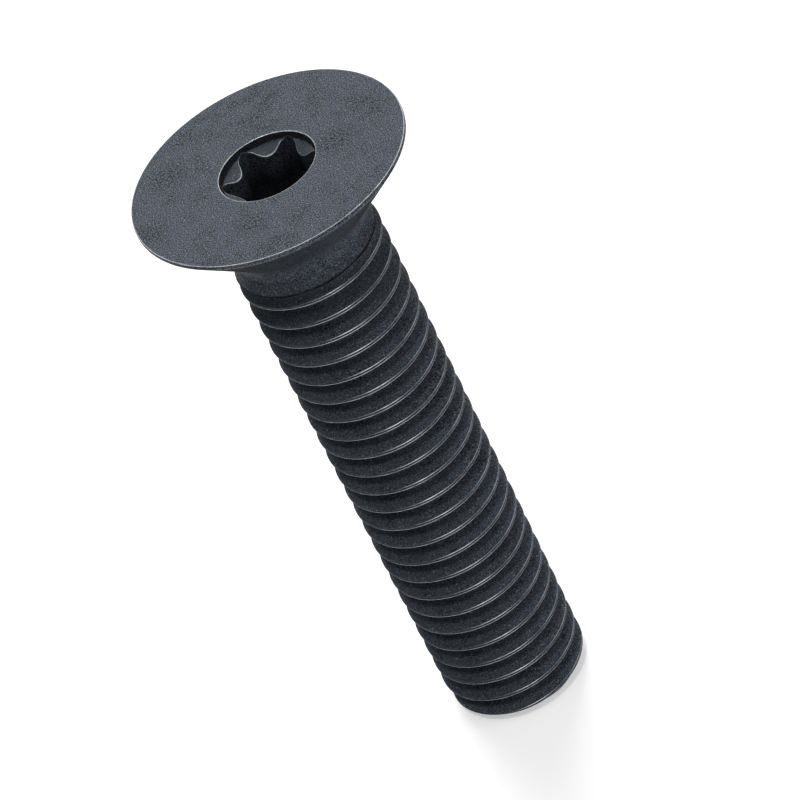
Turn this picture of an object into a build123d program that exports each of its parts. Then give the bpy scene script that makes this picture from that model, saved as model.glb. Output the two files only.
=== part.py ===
from build123d import *
import math
import os

# Countersunk socket screw, M6 x 1 x 28, one solid piece.
# The screw is made about the Z axis with its head face at height zero and its tip
# below. It is then raised to stand on the flat end of its tip, with its front at -Y.

# Thread
thread_d = 6.0
pitch = 1.0
flank_angle = 60.0
thread_depth_per_pitch = 0.6134
crest_flat_per_pitch = 0.125
overall_length = 28.0
tip_d = 4.95
tip_angle = 90.0
first_crest_below_start = 0.985
runout_angle = 45.0
groove_below_start = 0.55
turns_per_stretch = 4
foot_sink = 0.08

# Head and neck
head_d = 11.02
head_angle = 90.0
rim_land = 0.16
neck_d = 5.45
neck_length = 0.505
neck_fillet_r = 1.2

# Counterbore at the mouth of the socket
mouth_d = 3.91
ledge_outer_d = 3.74
ledge_outer_depth = 0.26
ledge_angle = 112.0

# Six-lobe socket
socket_outer_d = 3.78
socket_inner_d = 2.81
lobe_r = 0.42
socket_depth = 2.0
socket_point_angle = 150.0
lobe_turn = 50.1

# Derived sizes
thread_r = thread_d / 2
neck_r = neck_d / 2
head_r = head_d / 2
thread_depth = thread_depth_per_pitch * pitch
root_r = thread_r - thread_depth
crest_half = crest_flat_per_pitch * pitch / 2
cone_slope = math.tan(math.radians(head_angle / 2))
cone_end_depth = rim_land + (head_r - neck_r) / cone_slope
thread_start_depth = cone_end_depth + neck_length
groove_start_depth = thread_start_depth + groove_below_start
crest_depth_at_top = thread_start_depth + first_crest_below_start
tip_slope = math.tan(math.radians(tip_angle / 2))
tip_chamfer_run = (thread_r - tip_d / 2) / tip_slope
margin = 0.05


def turned(points):
    """A solid turned about the Z axis from (radius, height) corners."""
    outline = make_face(Polyline(*[(r, 0, z) for r, z in points], close=True))
    return revolve(outline, Axis.Z)


def blank():
    """The outside of the screw: head, rim land, cone, neck, run-out, crests and tip."""
    runout_slope = math.tan(math.radians(runout_angle / 2))
    outer_r = thread_r + margin
    corners = [
        (0, 0, 0),
        (head_r, 0, 0),
        (head_r, 0, -rim_land),
        (neck_r, 0, -cone_end_depth),
        (neck_r, 0, -thread_start_depth),
        (outer_r, 0, -thread_start_depth - (outer_r - neck_r) / runout_slope),
        (outer_r, 0, -overall_length + tip_chamfer_run + margin / tip_slope),
        (tip_d / 2, 0, -overall_length),
        (0, 0, -overall_length),
    ]
    outline = make_face(Polyline(*corners, close=True))
    corner = outline.vertices().sort_by_distance((neck_r, 0, -cone_end_depth))[0]
    room = neck_length / math.tan(math.radians(head_angle / 4))
    return revolve(fillet(corner, min(neck_fillet_r, 0.95 * room)), Axis.Z)


def ridge(turns):
    """A stretch of thread ridge whose crest is at angle zero and height zero at its lower end.

    Four helical strips, two of them flanks, run between two caps in one axial plane. Its
    foot is sunk a little into the core.
    """
    foot_r = root_r - foot_sink
    foot_half = crest_half + (thread_r - foot_r) * math.tan(math.radians(flank_angle / 2))
    length = turns * pitch

    def helix(radius, offset):
        return Pos(0, 0, offset) * Edge.make_helix(pitch, length, radius)

    def cap(height):
        corners = [
            (foot_r, 0, height + foot_half),
            (thread_r, 0, height + crest_half),
            (thread_r, 0, height - crest_half),
            (foot_r, 0, height - foot_half),
        ]
        return make_face(Polyline(*corners, close=True)).face()

    edges = [
        helix(foot_r, foot_half),
        helix(thread_r, crest_half),
        helix(thread_r, -crest_half),
        helix(foot_r, -foot_half),
    ]
    strips = [Face.make_surface_from_curves(edges[k - 1], edges[k]) for k in range(4)]
    return Solid(Shell(strips + [cap(0), cap(length)]))


def threaded_rod():
    """The right-hand thread on its core, below a solid block that later becomes the head.

    The ridge is a row of equal stretches, each a whole number of turns long.
    """
    block_bottom = -groove_start_depth
    length = turns_per_stretch * pitch
    lower_end = block_bottom + pitch / 2 - length
    count = math.ceil((overall_length + pitch / 2 + lower_end + length) / length)
    crest_angle = 360 * (lower_end + crest_depth_at_top) / pitch - 90
    first = Pos(0, 0, lower_end) * Rot(0, 0, crest_angle % 360) * ridge(turns_per_stretch)
    outside = blank()
    ridges = [(Pos(0, 0, -k * length) * first) & outside for k in range(count)]
    block_r = head_r + margin
    inside = turned([
        (0, margin),
        (block_r, margin),
        (block_r, block_bottom),
        (root_r, block_bottom),
        (root_r, -overall_length),
        (0, -overall_length),
    ]) & outside
    return inside.fuse(*ridges)


def six_lobe_outline():
    """Six outward lobe arcs joined tangent to six inward arcs."""
    lobe_at = socket_outer_d / 2 - lobe_r
    inner = socket_inner_d / 2
    half_step = math.radians(30)
    reach = lobe_at * math.cos(half_step)
    rest = lobe_at ** 2 + inner ** 2 - 2 * reach * inner - lobe_r ** 2
    inward_r = rest / (2 * (lobe_r + reach - inner))
    inward_at = inner + inward_r

    def at(angle, radius):
        return Vector(radius * math.cos(angle), radius * math.sin(angle), 0)

    def tangent_point(lobe_angle, inward_angle):
        lobe_centre = at(lobe_angle, lobe_at)
        inward_centre = at(inward_angle, inward_at)
        return lobe_centre + (inward_centre - lobe_centre) * (lobe_r / (lobe_r + inward_r))

    arcs = []
    for k in range(6):
        lobe_angle = math.radians(lobe_turn + 60 * k)
        before = tangent_point(lobe_angle, lobe_angle - half_step)
        after = tangent_point(lobe_angle, lobe_angle + half_step)
        following = tangent_point(lobe_angle + 2 * half_step, lobe_angle + half_step)
        arcs.append(ThreePointArc(before, at(lobe_angle, socket_outer_d / 2), after))
        arcs.append(ThreePointArc(after, at(lobe_angle + half_step, inner), following))
    return make_face(arcs)


def socket():
    """The tapered counterbore, the sloping ledges, the six-lobe hole and its blunt point."""
    ledge_slope = math.tan(math.radians(ledge_angle / 2))
    wall_slope = (mouth_d - ledge_outer_d) / 2 / ledge_outer_depth
    mouth = turned([
        (0, margin),
        (mouth_d / 2 + wall_slope * margin, margin),
        (ledge_outer_d / 2, -ledge_outer_depth),
        (0, -ledge_outer_depth - ledge_outer_d / 2 / ledge_slope),
    ])
    hole = extrude(six_lobe_outline(), -socket_depth)
    point_r = socket_inner_d / 2 - margin
    point_height = point_r / math.tan(math.radians(socket_point_angle / 2))
    point = turned([
        (0, -socket_depth + margin),
        (point_r, -socket_depth + margin),
        (point_r, -socket_depth),
        (0, -socket_depth - point_height),
    ])
    return mouth + hole + point


def screw():
    """The finished screw, standing on its tip with its axis over the origin."""
    return Pos(0, 0, overall_length) * (threaded_rod() - socket())


os.makedirs("parts", exist_ok=True)
export_step(screw(), "parts/screw.step")
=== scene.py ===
import math

import bmesh
import bpy
import numpy as np
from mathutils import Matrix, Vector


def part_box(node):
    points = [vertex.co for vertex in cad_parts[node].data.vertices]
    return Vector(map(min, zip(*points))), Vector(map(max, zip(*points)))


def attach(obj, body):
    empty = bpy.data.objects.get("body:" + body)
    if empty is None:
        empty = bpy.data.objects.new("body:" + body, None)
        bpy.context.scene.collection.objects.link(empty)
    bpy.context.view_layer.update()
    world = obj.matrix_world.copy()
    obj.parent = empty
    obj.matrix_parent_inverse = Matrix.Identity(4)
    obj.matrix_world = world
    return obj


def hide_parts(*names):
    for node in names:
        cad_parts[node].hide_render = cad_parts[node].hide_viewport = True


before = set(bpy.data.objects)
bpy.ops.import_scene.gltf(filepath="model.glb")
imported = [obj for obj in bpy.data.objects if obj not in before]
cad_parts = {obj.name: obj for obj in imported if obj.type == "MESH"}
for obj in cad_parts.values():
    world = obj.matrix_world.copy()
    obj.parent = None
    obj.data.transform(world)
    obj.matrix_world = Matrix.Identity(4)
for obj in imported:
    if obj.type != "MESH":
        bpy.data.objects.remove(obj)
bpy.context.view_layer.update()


# The camera: a long lens about 170 mm from the head, looking down at it from the front, and
# rolled so that the shank runs down to the right as in the photograph.
film_width = 36.0
picture_width_in_pixels = 800.0
focal_length_in_pixels = 4490.0
camera_place = (0.0000063, -0.1391072, 0.1225781)
camera_turn_in_degrees = (49.23582, 20.72779, -17.18940)
camera_data = bpy.data.cameras.new("camera")
camera_data.sensor_width = film_width
camera_data.lens = film_width * focal_length_in_pixels / picture_width_in_pixels
camera_data.clip_start = 0.01
camera_data.clip_end = 20.0
camera = bpy.data.objects.new("camera", camera_data)
camera.location = camera_place
camera.rotation_euler = [math.radians(angle) for angle in camera_turn_in_degrees]
bpy.context.scene.collection.objects.link(camera)
bpy.context.scene.camera = camera


# The screw: one piece of blackened steel, forged with a flat countersunk head and a six-lobe
# socket and then rolled with a right-hand thread, standing on the flat end of its tip. Its
# surface is one closed grid in millimetres, a column for each angle round the axis.
mm = 0.001
length = round(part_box("screw")[1].z / mm, 2)
columns = 120
lobe_turn = 50.1
turn = np.radians(lobe_turn + np.arange(columns + 1) * 360.0 / columns)
# The same angles in degrees from -180 to 180, with the front of the screw at -90.
bearing = (np.degrees(turn) + 180) % 360 - 180


def rows_of(radius, height, wear=0.0, groove=0.0, calm=0.0):
    """A stretch of rows as five grids: the radius, the height and the state of the coat. The third
    grid is how far the coat is worn through to bare steel, in places set strongest as a painted
    highlight; the fourth is how much shade is painted into its colour, and how matt it is; and
    calm is how little of its grain shows."""
    return np.stack(np.broadcast_arrays(radius, height, wear, groove, calm))


def ramp(value, start, end):
    """Rises straight from 0 where the value is start to 1 where it is end, and holds there."""
    return np.clip((value - start) / (end - start), 0, 1)


def hump(value, centre, width):
    """A smooth hump: e to minus the square of the value's distance from the centre in widths."""
    return np.exp(-(((value - centre) / width) ** 2))


def arc(centre, radius, start, end, steps):
    """Points (radius, height) on a circle about centre, from angle start to angle end in degrees."""
    angle = np.radians(np.linspace(start, end, steps))
    return np.stack([centre[0] + radius * np.cos(angle), centre[1] + radius * np.sin(angle)], -1)


# The head and neck are a profile turned about the axis: the flat face, its rounded edge, a
# thin upright land, a 90 degree cone, and the fillet into the neck. The edge of the face is
# rubbed bright. Shade is painted into the coat under the head, least of all at the front, and
# on the neck at the right.
head_r = round(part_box("screw")[1].x / mm, 2)
land = 0.16
face_edge_r = 0.035
land_edge_r = 0.03
neck_r = 2.725
neck_length = 0.505
neck_fillet_r = 1.158
cone_top_gap = 0.07
cone_bottom_gap = 0.395
cone_bottom = length - land - head_r + neck_r
thread_top = cone_bottom - neck_length
# An arc that turns by 45 degrees ends this many radii from the corner that it rounds.
corner_share = math.tan(math.radians(45.0 / 2))

face_r = np.array([2.0, 2.06, 2.3, 2.8, 3.4, 4.0, 4.6, 5.1, 5.4, 5.465])
face = np.stack([face_r, np.full_like(face_r, length)], -1)
face_edge = arc((head_r - face_edge_r, length - face_edge_r), face_edge_r, 90, 0, 7)
land_rows = [[head_r, length - drop] for drop in (0.07, 0.12)]
land_edge_z = length - land + land_edge_r * corner_share
land_edge = arc((head_r - land_edge_r, land_edge_z), land_edge_r, 0, -45, 4)
cone_start = [head_r - cone_top_gap, length - land - cone_top_gap]
cone_end = [neck_r + cone_bottom_gap, cone_bottom + cone_bottom_gap]
cone = np.linspace(cone_start, cone_end, 9)
fillet_z = cone_bottom - neck_fillet_r * corner_share
neck_fillet = arc((neck_r + neck_fillet_r, fillet_z), neck_fillet_r, 135, 180, 9)
neck_end = [[neck_r, thread_top]]
profile = np.concatenate([face, face_edge, land_rows, land_edge, cone, neck_fillet, neck_end])
head_wear = np.zeros((len(profile), 1))
face_edge_at = len(face)
land_edge_at = len(face) + len(face_edge) + len(land_rows)
head_wear[face_edge_at : face_edge_at + len(face_edge), 0] = (0.38, 0.4, 0.34, 0.2, 0.05, 0, 0)
head_wear[land_edge_at : land_edge_at + len(land_edge)] = 0.08
below_face = length - profile[:, 1:]
right_side = hump(bearing, -30, 25)
# Painted shade: darker under the head, least at the front, and on the neck at the right.
head_groove = ramp(below_face, 0.2, 0.3) * np.maximum(ramp(below_face, 3.3, 2.0), 0.1)
head_groove = head_groove * (1.25 - 0.45 * hump(bearing, -75, 20))
head_groove = head_groove + 0.45 * right_side * ramp(below_face, 2.95, 3.35)
head = rows_of(profile[:, :1], profile[:, 1:], head_wear, head_groove)


# The thread is a right-hand ridge rolled from a groove under the neck to the chamfer of the
# tip. Each of its rows is a helix: its height at an angle is the crest's height there plus the
# row's own offset, a share of the pitch. The rows are cut off level at both ends.
pitch = 1.0
thread_depth = 0.6134 * pitch
crest_flat = 0.125 * pitch
crest_r = 3.0
root_r = crest_r - thread_depth
crest_half = crest_flat / 2
crest_edge_r = 0.022
root_fillet_r = 0.1
flank_angle = math.radians(30)
tip_r = 2.475
first_crest = thread_top - 0.985
runout_slope = math.tan(math.radians(22.5))
groove_top_left = length - 4.07
groove_top_rise = 0.2
groove_end_slope = 4.0
shallow_from = length - 4.6
shallow_slope = 0.66


def ridge(offset):
    """The thread's radius at a height offset from its crest: a flat crest and a flat root joined
    by straight flanks, with a small arc at the crest's edge and a larger one at the root. On a
    flank the radius falls by the offset past the crest's edge over the tangent of its angle."""
    offset = np.abs(offset)
    lean = math.tan(flank_angle)
    edge_at = crest_half - crest_edge_r * lean
    foot_at = crest_half + (crest_r - root_r + root_fillet_r) * lean
    crest_arc = np.sqrt(np.maximum(crest_edge_r**2 - (offset - edge_at) ** 2, 0))
    root_arc = np.sqrt(np.maximum(root_fillet_r**2 - (foot_at - offset) ** 2, 0))
    on_crest_arc = offset < edge_at + crest_edge_r * math.cos(flank_angle)
    on_root_arc = offset > foot_at - root_fillet_r * math.cos(flank_angle)
    shape = crest_r - (offset - crest_half) / lean
    shape = np.where(on_crest_arc, crest_r - crest_edge_r + crest_arc, shape)
    shape = np.where(offset < edge_at, crest_r, shape)
    shape = np.where(on_root_arc, root_r + root_fillet_r - root_arc, shape)
    return np.where(offset > foot_at, root_r, shape)


def lower_of(a, b, soft):
    """The lower of two radii, rounded where they cross: half of their sum less the root of
    their gap squared plus soft squared."""
    return (a + b - np.sqrt((a - b) ** 2 + soft**2)) / 2


def higher_of(a, b, soft):
    """The higher of two radii, rounded where they cross: half of their sum plus the root of
    their gap squared plus soft squared."""
    return (a + b + np.sqrt((a - b) ** 2 + soft**2)) / 2


# The rows from a crest up to the next root, close together at the crest's edge. They are
# repeated for a few more turns than fit, and those that lie beyond an end are left out.
half_pitch_rows = np.array(
    [0, 0.04, 0.048, 0.054, 0.0625, 0.07, 0.077, 0.086, 0.16, 0.25, 0.33, 0.385, 0.42, 0.46]
)
pitch_rows = np.concatenate([[0.5], half_pitch_rows[::-1], -half_pitch_rows[1:]])
turns_up = np.arange(2, -math.ceil(length / pitch), -1)[:, None]
crest_height = first_crest + (np.degrees(turn) + 90) / 360 * pitch
height = crest_height + (turns_up + pitch_rows).reshape(-1, 1) * pitch
starts_below_top = height.min(axis=1) < thread_top + pitch / 2
ends_above_tip = height.max(axis=1) > -pitch / 2
height = np.clip(height[starts_below_top & ends_above_tip], 0, thread_top)
offset = (height - crest_height + pitch / 2) % pitch - pitch / 2

# The groove starts a little higher at the right than at the left, and is shallow at first.
# The run-out under the neck and the chamfer of the tip cut the outside of the ridge down.
groove_top = groove_top_left + groove_top_rise * (1 + np.cos(turn)) / 2
runout = neck_r + (thread_top - height) * runout_slope
groove_end = runout - np.maximum(groove_top - height, 0) * groove_end_slope
shallow_root = root_r + np.maximum(height - shallow_from, 0) * shallow_slope
radius = higher_of(ridge(offset), shallow_root, soft=0.02)
radius = higher_of(radius, groove_end, soft=0.01)
radius = lower_of(radius, runout, soft=0.01)
radius = np.minimum(radius, lower_of(radius, tip_r + height, soft=0.02))

# The coat is rubbed through to bare steel along both edges of the crest: along the lower
# one nearly all round, and along the upper one a little. A painted highlight sets the upper
# one much stronger at the front and at the front right, and the lower one wider at the front.
front_highlight = hump(bearing, -90, 14)
upper_rub_and_highlight = 0.02 + 0.82 * front_highlight + 0.36 * hump(bearing, -40, 20)
lower_rub = 0.97 + 0.03 * front_highlight - 0.3 * hump(bearing, -58, 12)
rub_half = 0.0145 + 0.006 * hump(bearing, -90, 28) * (offset < 0)
from_edge = np.abs(np.abs(offset) - crest_half)
thread_wear = ramp(rub_half - from_edge, 0, 0.006) * np.where(offset > 0, upper_rub_and_highlight, lower_rub)
thread_wear = thread_wear * ramp(radius, crest_r - 0.05, crest_r - 0.01)

# Shade is painted into the coat: darker at the front left, where its grain also shows least,
# on the flanks at the front, in the roots elsewhere, and at the right above the groove's top.
# A painted shadow line runs along that top.
depth = (crest_r - radius) / thread_depth
front = hump(bearing, -100, 24)
shade = np.maximum(0.2 + 0.22 * np.cos(np.radians(bearing + 125)), 0.05)
shade = shade + front * (0.14 - 0.48 * ramp(np.abs(offset), 0.28, 0.40))
shade = shade + 0.22 * (1 - front) * ramp(depth, 0.7, 1.0)
top_shadow_line = hump(height, groove_top + 0.015, 0.052) * ramp(radius, crest_r + 0.03, crest_r - 0.07)
thread_groove = shade * ramp(height, length - 4.4, length - 4.65)
thread_groove = thread_groove + 0.45 * right_side * (height > groove_top) + 2.2 * top_shadow_line
thread_calm = 0.42 + 0.14 * np.cos(np.radians(bearing + 135)) - 0.15 * (height > thread_top - 0.5)
thread = rows_of(radius, height, thread_wear, thread_groove, thread_calm)


# The socket is a six-lobe hole punched into the head. Its outline is lobe arcs joined tangent
# to inward arcs. Its mouth is a shallow taper that ends in three-sided ledges between the
# lobes, which slope down to a small rounded lip round the hole.
mouth_r = 1.955
mouth_edge_r = 0.016
ledge_r = 1.87
ledge_depth = 0.26
ledge_angle = 112.0
ledge_drop = 1 / math.tan(math.radians(ledge_angle / 2))
least_ledge = 0.01
largest_lip = 0.018
outer_r = 1.89
inner_r = 1.405
lobe_r = 0.42
lobe_at = outer_r - lobe_r
socket_depth = 2.0
point_angle = 150.0
point_slope = 1 / math.tan(math.radians(point_angle / 2))
point_r = inner_r - 0.05

half_step = math.radians(30)
reach = lobe_at * math.cos(half_step)
bulge = lobe_at**2 + inner_r**2 - 2 * reach * inner_r - lobe_r**2
inward_r = bulge / (2 * (lobe_r + reach - inner_r))
inward_at = inner_r + inward_r
share = lobe_r / (lobe_r + inward_r)
tangent_x = lobe_at * (1 - share) + inward_at * math.cos(half_step) * share
tangent_y = inward_at * math.sin(half_step) * share
from_lobe = np.abs((turn - math.radians(lobe_turn) + half_step) % (2 * half_step) - half_step)
from_inward = half_step - from_lobe
lobe_chord = np.sqrt(np.maximum(lobe_r**2 - (lobe_at * np.sin(from_lobe)) ** 2, 0))
inward_chord = np.sqrt(np.maximum(inward_r**2 - (inward_at * np.sin(from_inward)) ** 2, 0))
on_lobe = from_lobe < math.atan2(tangent_y, tangent_x)
lobe_arc = lobe_at * np.cos(from_lobe) + lobe_chord
inward_arc = inward_at * np.cos(from_inward) - inward_chord
lobes = np.where(on_lobe, lobe_arc, inward_arc)

mouth_edge_z = length - mouth_edge_r
taper = (mouth_r - ledge_r) / ledge_depth
foot_r = np.maximum(lobes + least_ledge, ledge_r)
foot_z = length - (mouth_r - foot_r) / taper
lip = np.minimum((foot_r - lobes) * 0.3, largest_lip)
hole_z = foot_z - (foot_r - lobes) * ledge_drop
lip_r = lobes + lip
lip_z = hole_z + lip * ledge_drop
wall_z = hole_z - lip
floor_z = length - socket_depth
# Painted shade darkens the ledges at the right and at the left, where their painted highlight
# of rubbed steel is weaker too. They are rubbed less where they are narrow.
shaded_sides = hump(bearing, 20, 25) + 0.7 * hump(bearing, -160, 25)
ledge_rub_and_highlight = ramp(foot_r - lobes, 0, 0.12) * (1 - 0.8 * shaded_sides)
socket_rows = []


def add_row(radius, height, **coat):
    """Adds a row of the socket, the next one down, from its radius and height at each angle."""
    socket_rows.append(rows_of(radius + np.zeros((1, columns + 1)), height, **coat))


# From the top: the mouth's edge, the taper, the ledges, the lip, the wall, the floor and its
# blunt point. The mouth's edge and the lip are rubbed, and shade is painted dark into the taper
# and the hole, nearly black deep in the hole.
mouth_edge = arc((mouth_r + mouth_edge_r, mouth_edge_z), mouth_edge_r, 90, 180, 5)
for (edge_r, edge_z), wear in zip(mouth_edge, (0.25, 0.62, 0.68, 0.45, 0.05)):
    add_row(edge_r, edge_z, wear=wear, groove=0.2)
for step in (0.12, 0.5, 0.8, 1.0):
    row_r = mouth_r + (foot_r - mouth_r) * step
    row_z = mouth_edge_z + (foot_z - mouth_edge_z) * step
    add_row(row_r, row_z, groove=1.5)
for step, wear, dark in ((0.08, 0, 0.5), (0.3, 0, 0), (0.7, 0, 0), (0.95, 0, 0), (1.0, 0.3, 0)):
    row_r = foot_r + (lip_r - foot_r) * step
    row_z = foot_z + (lip_z - foot_z) * step
    ledge_shade = dark + 0.6 * shaded_sides * max(step - 0.3, 0)
    add_row(row_r, row_z, wear=wear * ledge_rub_and_highlight, groove=ledge_shade, calm=0.9)
for bend, wear in ((30, 0.6), (60, 0.6), (90, 0.35)):
    row_r = lobes + lip * (1 - math.sin(math.radians(bend)))
    row_z = lip_z - 1.2 * lip * (1 - math.cos(math.radians(bend)))
    add_row(row_r, row_z, wear=wear * ledge_rub_and_highlight, groove=0.3 + 0.9 * shaded_sides, calm=0.5)
for step in (0.02, 0.2, 0.5, 0.8, 0.97, 1.0):
    add_row(lobes, wall_z + (floor_z - wall_z) * step, groove=min(0.9 + step, 1.55))
for step in (0.03, 0.5, 1.0):
    add_row(lobes + (point_r - lobes) * step, floor_z, groove=1.6)
for step in (0.66, 0.33, 0.0):
    add_row(point_r * step, floor_z - point_r * (1 - step) * point_slope, groove=1.6)
socket = np.concatenate(socket_rows[::-1], axis=1)


# The flat end of the tip closes the surface. Points that fall together, at the seam, at the
# two poles and where rows were cut off level, are merged.
merge_distance = 5e-8
end_share = np.array([0.985, 0.6, 0.3, 0.0])[:, None]
tip_end = rows_of(radius[-1] * end_share, 0.0)
all_radius, all_height, *coat_state = np.concatenate([socket, head, thread, tip_end], axis=1)
points = np.stack([all_radius * np.cos(turn), all_radius * np.sin(turn), all_height], -1)
corner = np.arange(all_radius.size).reshape(all_radius.shape)
quads = np.stack([corner[:-1, :-1], corner[1:, :-1], corner[1:, 1:], corner[:-1, 1:]], -1)
screw_mesh = bpy.data.meshes.new("screw_body")
screw_mesh.from_pydata((points.reshape(-1, 3) * mm).tolist(), [], quads.reshape(-1, 4).tolist())
for name, values in zip(("wear", "groove", "calm"), coat_state):
    layer = screw_mesh.attributes.new(name, "FLOAT", "POINT")
    layer.data.foreach_set("value", values.ravel().astype(np.float32))
grid = bmesh.new()
grid.from_mesh(screw_mesh)
bmesh.ops.remove_doubles(grid, verts=grid.verts, dist=merge_distance)
bmesh.ops.recalc_face_normals(grid, faces=grid.faces)
grid.to_mesh(screw_mesh)
grid.free()
screw_mesh.polygons.foreach_set("use_smooth", np.ones(len(screw_mesh.polygons), dtype=bool))
screw = bpy.data.objects.new("screw_body", screw_mesh)
bpy.context.scene.collection.objects.link(screw)

# The coat is black oxide on steel: a blue-grey layer with a fine grain, cloudy blotches of
# darker specks and a few pale specks painted as glints. Shade is painted into it, darker and
# matt, and nearly black in the socket's hollow, and it is rubbed through to bright steel along
# the edges, set strongest in places as a painted highlight.
coat_dark = (0.004, 0.008, 0.013, 1)
coat_pale = (0.128, 0.146, 0.172, 1)
coat_even = (0.058, 0.067, 0.079, 1)
speck_black = (0.010, 0.012, 0.015, 1)
# The grey of the painted glints.
painted_glint_grey = (0.26, 0.28, 0.31, 1)
# Colours of painted shade, and the near black painted in the socket's hollow.
shade_dark = (0.001, 0.002, 0.003, 1)
shade_pale = (0.040, 0.046, 0.055, 1)
hollow_shade_black = (0.003, 0.003, 0.004, 1)
bare_steel = (0.83, 0.86, 0.90, 1)
# Blotches at chosen places on the face and the shank: x, y, z and radius in millimetres.
blotch_places = (
    (-3.5, 2.3, 28.0, 1.2),
    (2.7, -0.5, 28.0, 1.1),
    (-1.5, -2.9, 28.0, 0.9),
    (-5.0, -0.6, 28.0, 1.0),
    (2.4, -1.4, 16.6, 1.9),
    (2.3, -1.5, 12.4, 1.4),
)
oxide = bpy.data.materials.new("black_oxide")
oxide.use_nodes = True
nodes = oxide.node_tree.nodes
links = oxide.node_tree.links
shader = nodes["Principled BSDF"]
place = nodes.new("ShaderNodeTexCoord")


def noise(scale, detail, roughness=0.5):
    """A noise over the object's own metres, with blobs about 1/scale metres across."""
    node = nodes.new("ShaderNodeTexNoise")
    node.inputs["Scale"].default_value = scale
    node.inputs["Detail"].default_value = detail
    node.inputs["Roughness"].default_value = roughness
    links.new(place.outputs["Object"], node.inputs["Vector"])
    return node.outputs["Fac"]


def coat_value(name):
    """One of the mesh's three numbers on the state of the coat: how worn it is with painted
    highlight, how much shade is painted on it, or how calm its grain is.
    """
    node = nodes.new("ShaderNodeAttribute")
    node.attribute_name = name
    return node.outputs["Fac"]


def spread(value, low, high, to_low=0.0, to_high=1.0):
    """Maps low..high of a value to to_low..to_high and holds it there."""
    node = nodes.new("ShaderNodeMapRange")
    node.inputs["From Min"].default_value = low
    node.inputs["From Max"].default_value = high
    node.inputs["To Min"].default_value = to_low
    node.inputs["To Max"].default_value = to_high
    links.new(value, node.inputs["Value"])
    return node.outputs["Result"]


def maths(kind, a, b):
    """One arithmetic step on two values or numbers."""
    node = nodes.new("ShaderNodeMath")
    node.operation = kind
    for inlet, value in zip(node.inputs, (a, b)):
        if isinstance(value, (int, float)):
            inlet.default_value = value
        else:
            links.new(value, inlet)
    return node.outputs["Value"]


def blend(factor, a, b):
    """A colour between a, where the factor is 0, and b, where it is 1."""
    node = nodes.new("ShaderNodeMix")
    node.data_type = "RGBA"
    links.new(factor, node.inputs["Factor"])
    for name, value in (("A", a), ("B", b)):
        inlet = [s for s in node.inputs if s.name == name and s.type == "RGBA"][0]
        if isinstance(value, tuple):
            inlet.default_value = value
        else:
            links.new(value, inlet)
    return [s for s in node.outputs if s.type == "RGBA"][0]


def blotch(x, y, z, size):
    """1 up to a third of its size from a place, falling straight to 0 at its size from it."""
    node = nodes.new("ShaderNodeVectorMath")
    node.operation = "DISTANCE"
    node.inputs[1].default_value = (x * mm, y * mm, z * mm)
    links.new(place.outputs["Object"], node.inputs[0])
    return spread(node.outputs["Value"], size * mm / 3, size * mm, 1.0, 0.0)


grain = spread(noise(25500.0, 0.0), 0.36, 0.64)
colour = blend(grain, coat_dark, coat_pale)
colour = blend(coat_value("calm"), colour, coat_even)
blotches = maths("MULTIPLY", spread(noise(800.0, 3.0, 0.6), 0.49, 0.62), 0.85)
for x, y, z, size in blotch_places:
    blotches = maths("MAXIMUM", blotches, blotch(x, y, z, size))
specks = spread(noise(11000.0, 3.0, 0.65), 0.515, 0.555)
colour = blend(maths("MULTIPLY", blotches, specks), colour, speck_black)
# Painted glints: a few pale specks that stand for small highlights.
painted_glints = spread(noise(15000.0, 0.0), 0.72, 0.78, 0.0, 0.8)
colour = blend(painted_glints, colour, painted_glint_grey)
# Painted shade: the coat turns darker where the shade value is high, and nearly black in the
# socket's hollow.
groove = coat_value("groove")
painted_shade_colour = blend(grain, shade_dark, shade_pale)
colour = blend(spread(groove, 0.0, 1.0, 0.0, 0.9), colour, painted_shade_colour)
colour = blend(spread(groove, 1.3, 1.6, 0.0, 0.9), colour, hollow_shade_black)
# Bare steel where the coat is worn through; where that is set strongest it is a painted highlight.
uneven = spread(noise(2600.0, 2.0), 0.3, 0.6, 0.6, 1.0)
rubbed_and_highlight = maths("MULTIPLY", coat_value("wear"), uneven)
colour = blend(rubbed_and_highlight, colour, bare_steel)
matt = spread(groove, 0.2, 0.8, 0.55, 0.95)
links.new(colour, shader.inputs["Base Color"])
links.new(rubbed_and_highlight, shader.inputs["Metallic"])
links.new(maths("SUBTRACT", matt, maths("MULTIPLY", rubbed_and_highlight, 0.22)), shader.inputs["Roughness"])
shader.inputs["Specular IOR Level"].default_value = 0.035
bump = nodes.new("ShaderNodeBump")
bump.inputs["Strength"].default_value = 0.6
bump.inputs["Distance"].default_value = 0.00001
links.new(grain, bump.inputs["Height"])
links.new(bump.outputs["Normal"], shader.inputs["Normal"])
screw_mesh.materials.append(oxide)
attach(screw, "root")
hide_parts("screw")


# The floor: a plain pale sheet that the screw stands on. It is lifted to white where it is
# seen, and keeps the screw's soft shadow.
floor_half = 4.0
paper_grey = (0.70, 0.70, 0.70, 1)
floor_corners = [(-1, -1), (1, -1), (1, 1), (-1, 1)]
floor_points = [(x * floor_half, y * floor_half, 0) for x, y in floor_corners]
floor_mesh = bpy.data.meshes.new("floor")
floor_mesh.from_pydata(floor_points, [], [(0, 1, 2, 3)])
floor = bpy.data.objects.new("floor", floor_mesh)
bpy.context.scene.collection.objects.link(floor)


def seen(tree):
    """1 for rays from the camera, also those mirrored or sent through glass, and 0 for others:
    the highest of the three ray values of the Light Path."""
    path = tree.nodes.new("ShaderNodeLightPath")
    highest = path.outputs["Is Camera Ray"]
    for ray in ("Is Transmission Ray", "Is Glossy Ray"):
        node = tree.nodes.new("ShaderNodeMath")
        node.operation = "MAXIMUM"
        tree.links.new(highest, node.inputs[0])
        tree.links.new(path.outputs[ray], node.inputs[1])
        highest = node.outputs["Value"]
    return highest


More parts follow.
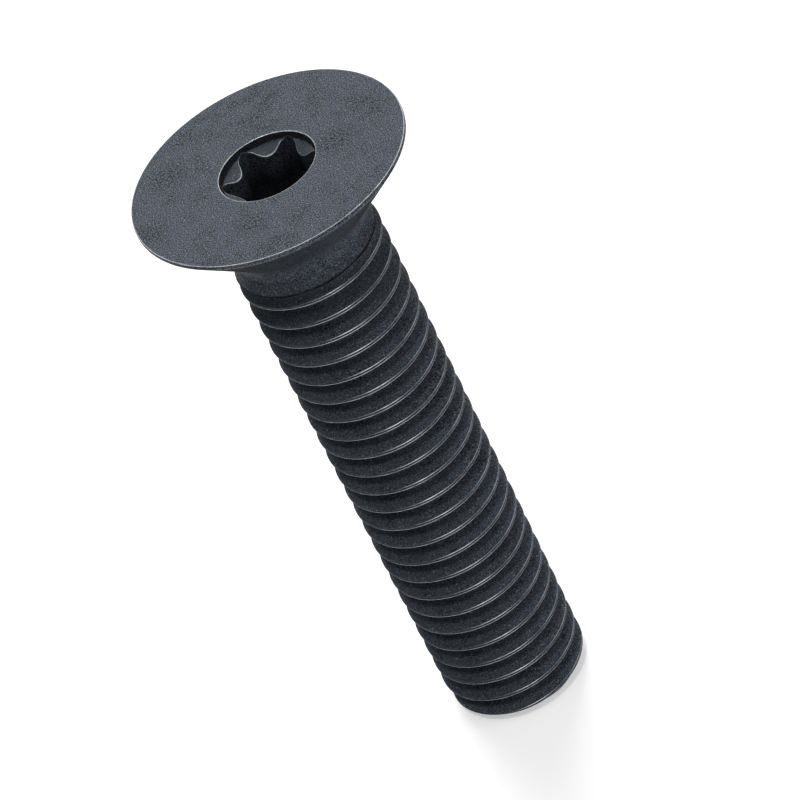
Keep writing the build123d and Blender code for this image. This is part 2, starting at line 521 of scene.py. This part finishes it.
paper = bpy.data.materials.new("pale_paper")
paper.use_nodes = True
paper_nodes = paper.node_tree.nodes
paper_links = paper.node_tree.links
sheet = paper_nodes["Principled BSDF"]
sheet.inputs["Base Color"].default_value = paper_grey
sheet.inputs["Roughness"].default_value = 0.9
sheet.inputs["Specular IOR Level"].default_value = 0.1
lift = paper_nodes.new("ShaderNodeMath")
lift.operation = "MULTIPLY"
lift.inputs[1].default_value = 0.45
glow = paper_nodes.new("ShaderNodeEmission")
both = paper_nodes.new("ShaderNodeAddShader")
paper_links.new(seen(paper.node_tree), lift.inputs[0])
paper_links.new(lift.outputs["Value"], glow.inputs["Strength"])
paper_links.new(sheet.outputs[0], both.inputs[0])
paper_links.new(glow.outputs[0], both.inputs[1])
paper_links.new(both.outputs[0], paper_nodes["Material Output"].inputs["Surface"])
floor_mesh.materials.append(paper)


# The light: a surround that is white where it is seen and lights the screw dimly, a small key
# lamp high at the front, a wider and dimmer one at the right, and a large bright one high
# behind, which the flat face of the head mirrors softly.
world = bpy.data.worlds.new("studio")
world.use_nodes = True
bpy.context.scene.world = world
surround = world.node_tree.nodes["Background"]
surround.inputs["Color"].default_value = (1.0, 1.0, 1.0, 1)
level = world.node_tree.nodes.new("ShaderNodeMapRange")
level.inputs["To Min"].default_value = 0.25
level.inputs["To Max"].default_value = 1.0
world.node_tree.links.new(seen(world.node_tree), level.inputs["Value"])
world.node_tree.links.new(level.outputs["Result"], surround.inputs["Strength"])
lit_point = (0.0, 0.0, 0.014)


def lamp(name, lamp_place, size, power):
    """A square soft lamp turned about Z and tilted so that it faces the middle of the screw."""
    data = bpy.data.lights.new(name, "AREA")
    data.size = size
    data.energy = power
    light = bpy.data.objects.new(name, data)
    toward = np.subtract(lit_point, lamp_place)
    across = math.atan2(toward[0], -toward[1])
    tilt = math.acos(-toward[2] / np.linalg.norm(toward))
    light.location = lamp_place
    light.rotation_euler = (tilt, 0, across + math.pi)
    bpy.context.scene.collection.objects.link(light)


lamp("key_lamp", (-0.045, -0.27, 0.54), size=0.08, power=1.1)
lamp("side_lamp", (0.50, -0.25, 0.30), size=0.30, power=0.8)
lamp("back_lamp", (0.05, 0.40, 0.55), size=0.35, power=4.0)

bpy.context.scene.view_settings.view_transform = "Standard"
